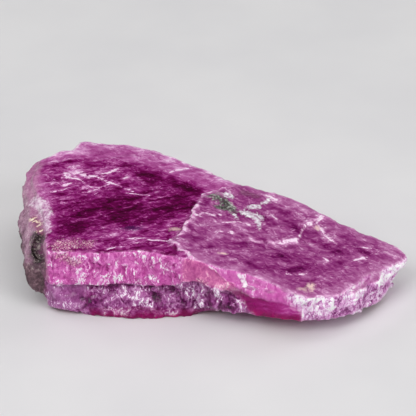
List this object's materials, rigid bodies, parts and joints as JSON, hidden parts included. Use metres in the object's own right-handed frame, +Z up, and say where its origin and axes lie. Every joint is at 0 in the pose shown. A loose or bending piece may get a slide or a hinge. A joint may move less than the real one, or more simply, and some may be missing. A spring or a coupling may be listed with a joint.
{
  "type": "rough sapphire crystal",
  "caption": "Rough pink tabular sapphire (corundum) crystal: flat growth faces on top, a ledged broken front, a thin fractured end and a rind on the thick end.",
  "frame": {"origin": "middle of the bounding box in plan, at the level of the flat parting facet the stone rests on", "axes": "+X along the stone's length towards its thin fractured end, +Y towards the back, +Z up, square to the parting facet, through the stone's thickness"},
  "size_m": [0.0414, 0.027, 0.0087],
  "materials": {
    "corundum": "translucent pink to deep magenta corundum with pale fracture veils, glossy broken faces, a grey-green mica patch and a dull grey-brown rind at the thick end"
  },
  "bodies": {
    "root": {"sapphire_crystal": "corundum"}
  },
  "joints": []
}
